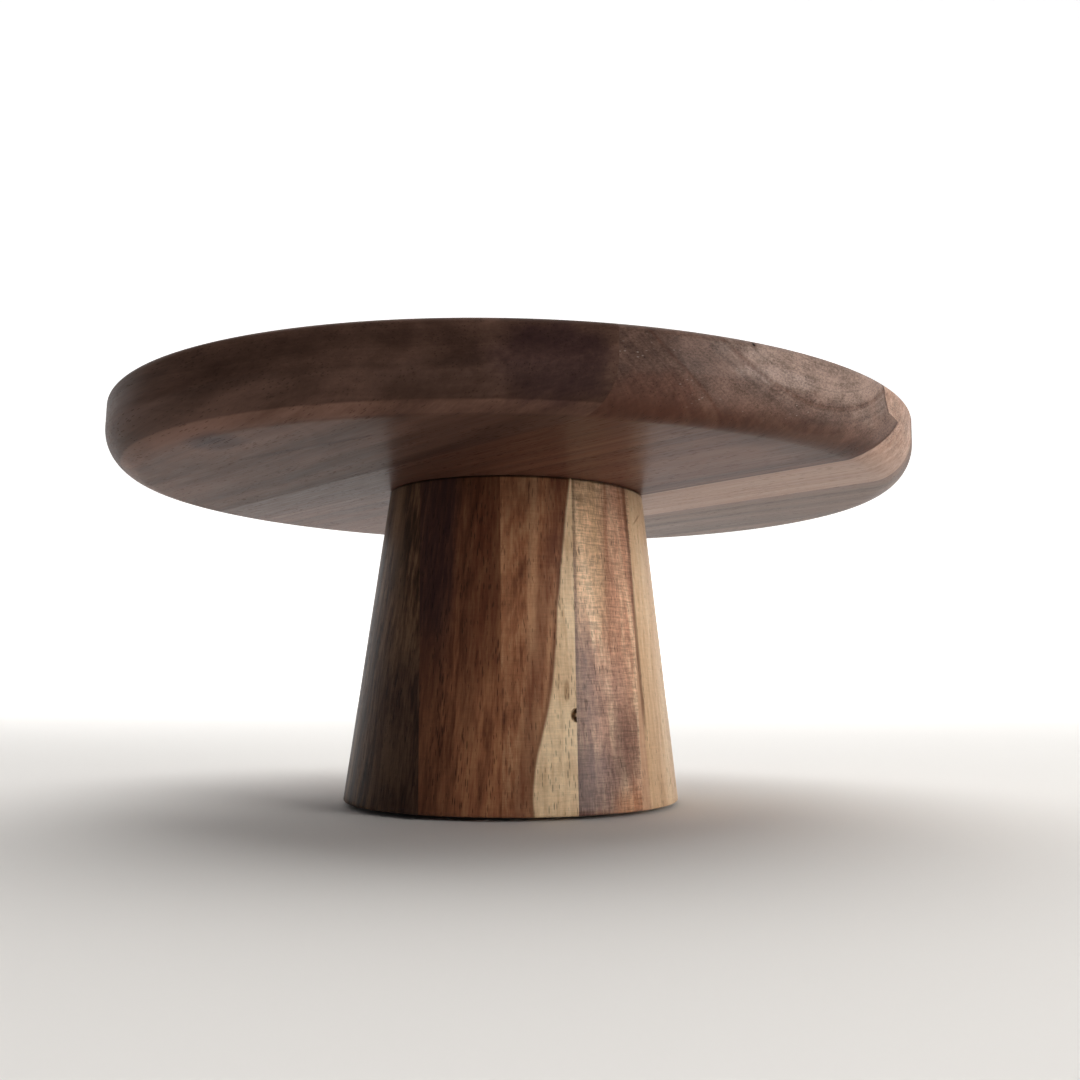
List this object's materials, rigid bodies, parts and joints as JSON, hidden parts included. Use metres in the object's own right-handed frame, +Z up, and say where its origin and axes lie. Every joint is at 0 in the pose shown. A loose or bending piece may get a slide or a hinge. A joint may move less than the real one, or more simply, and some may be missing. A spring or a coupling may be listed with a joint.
{
  "type": "cake stand",
  "caption": "Round wooden cake stand: a thick edge-glued plate with a round-over under its rim, screwed onto a turned, laminated conical pedestal.",
  "frame": {"origin": "centre of the circle of pads, on the surface the stand rests on", "axes": "+Z up along the pedestal and plate axis; -Y towards the front; +X to the right seen from the front"},
  "size_m": [0.3, 0.3, 0.1405],
  "materials": {
    "plate_dark_wood": "satin oiled",
    "plate_heart_wood": "satin oiled",
    "plate_grey_wood": "satin oiled",
    "strip_olive_wood": "satin oiled",
    "strip_dark_wood": "satin oiled",
    "strip_warm_wood": "satin oiled",
    "strip_pink_wood": "satin oiled",
    "strip_pale_wood": "satin oiled",
    "zinc_plated_steel": "zinc plated",
    "zinc_alloy": "cast",
    "pad_rubber": "matt"
  },
  "bodies": {
    "pedestal": {"pedestal_outer_left_strip": "strip_olive_wood", "pedestal_left_strip": "strip_dark_wood", "pedestal_centre_strip": "strip_warm_wood", "pedestal_right_strip": "strip_pink_wood", "pedestal_outer_right_strip": "strip_pale_wood", "hanger_bolt": "zinc_plated_steel", "pad_front_left": "pad_rubber", "pad_front_right": "pad_rubber", "pad_back_left": "pad_rubber", "pad_back_right": "pad_rubber"},
    "plate_insert": {"threaded_insert": "zinc_alloy"},
    "plate": {"plate_left_board": "plate_dark_wood", "plate_middle_board": "plate_heart_wood", "plate_right_board": "plate_grey_wood"}
  },
  "joints": [
    {"name": "insert_rise", "type": "slide", "parent": "pedestal", "child": "plate_insert", "axis": [0, 0, 1], "range_m": [0, 0.012]},
    {"name": "plate_turn", "type": "hinge", "parent": "plate_insert", "child": "plate", "pos_m": [0, 0, 0.1165], "axis": [0, 0, 1], "range_deg": [0, 3456]}
  ],
  "couplings": [
    {"joint": "insert_rise", "follows": "plate_turn", "m_per_rad": 0.00019894}
  ]
}
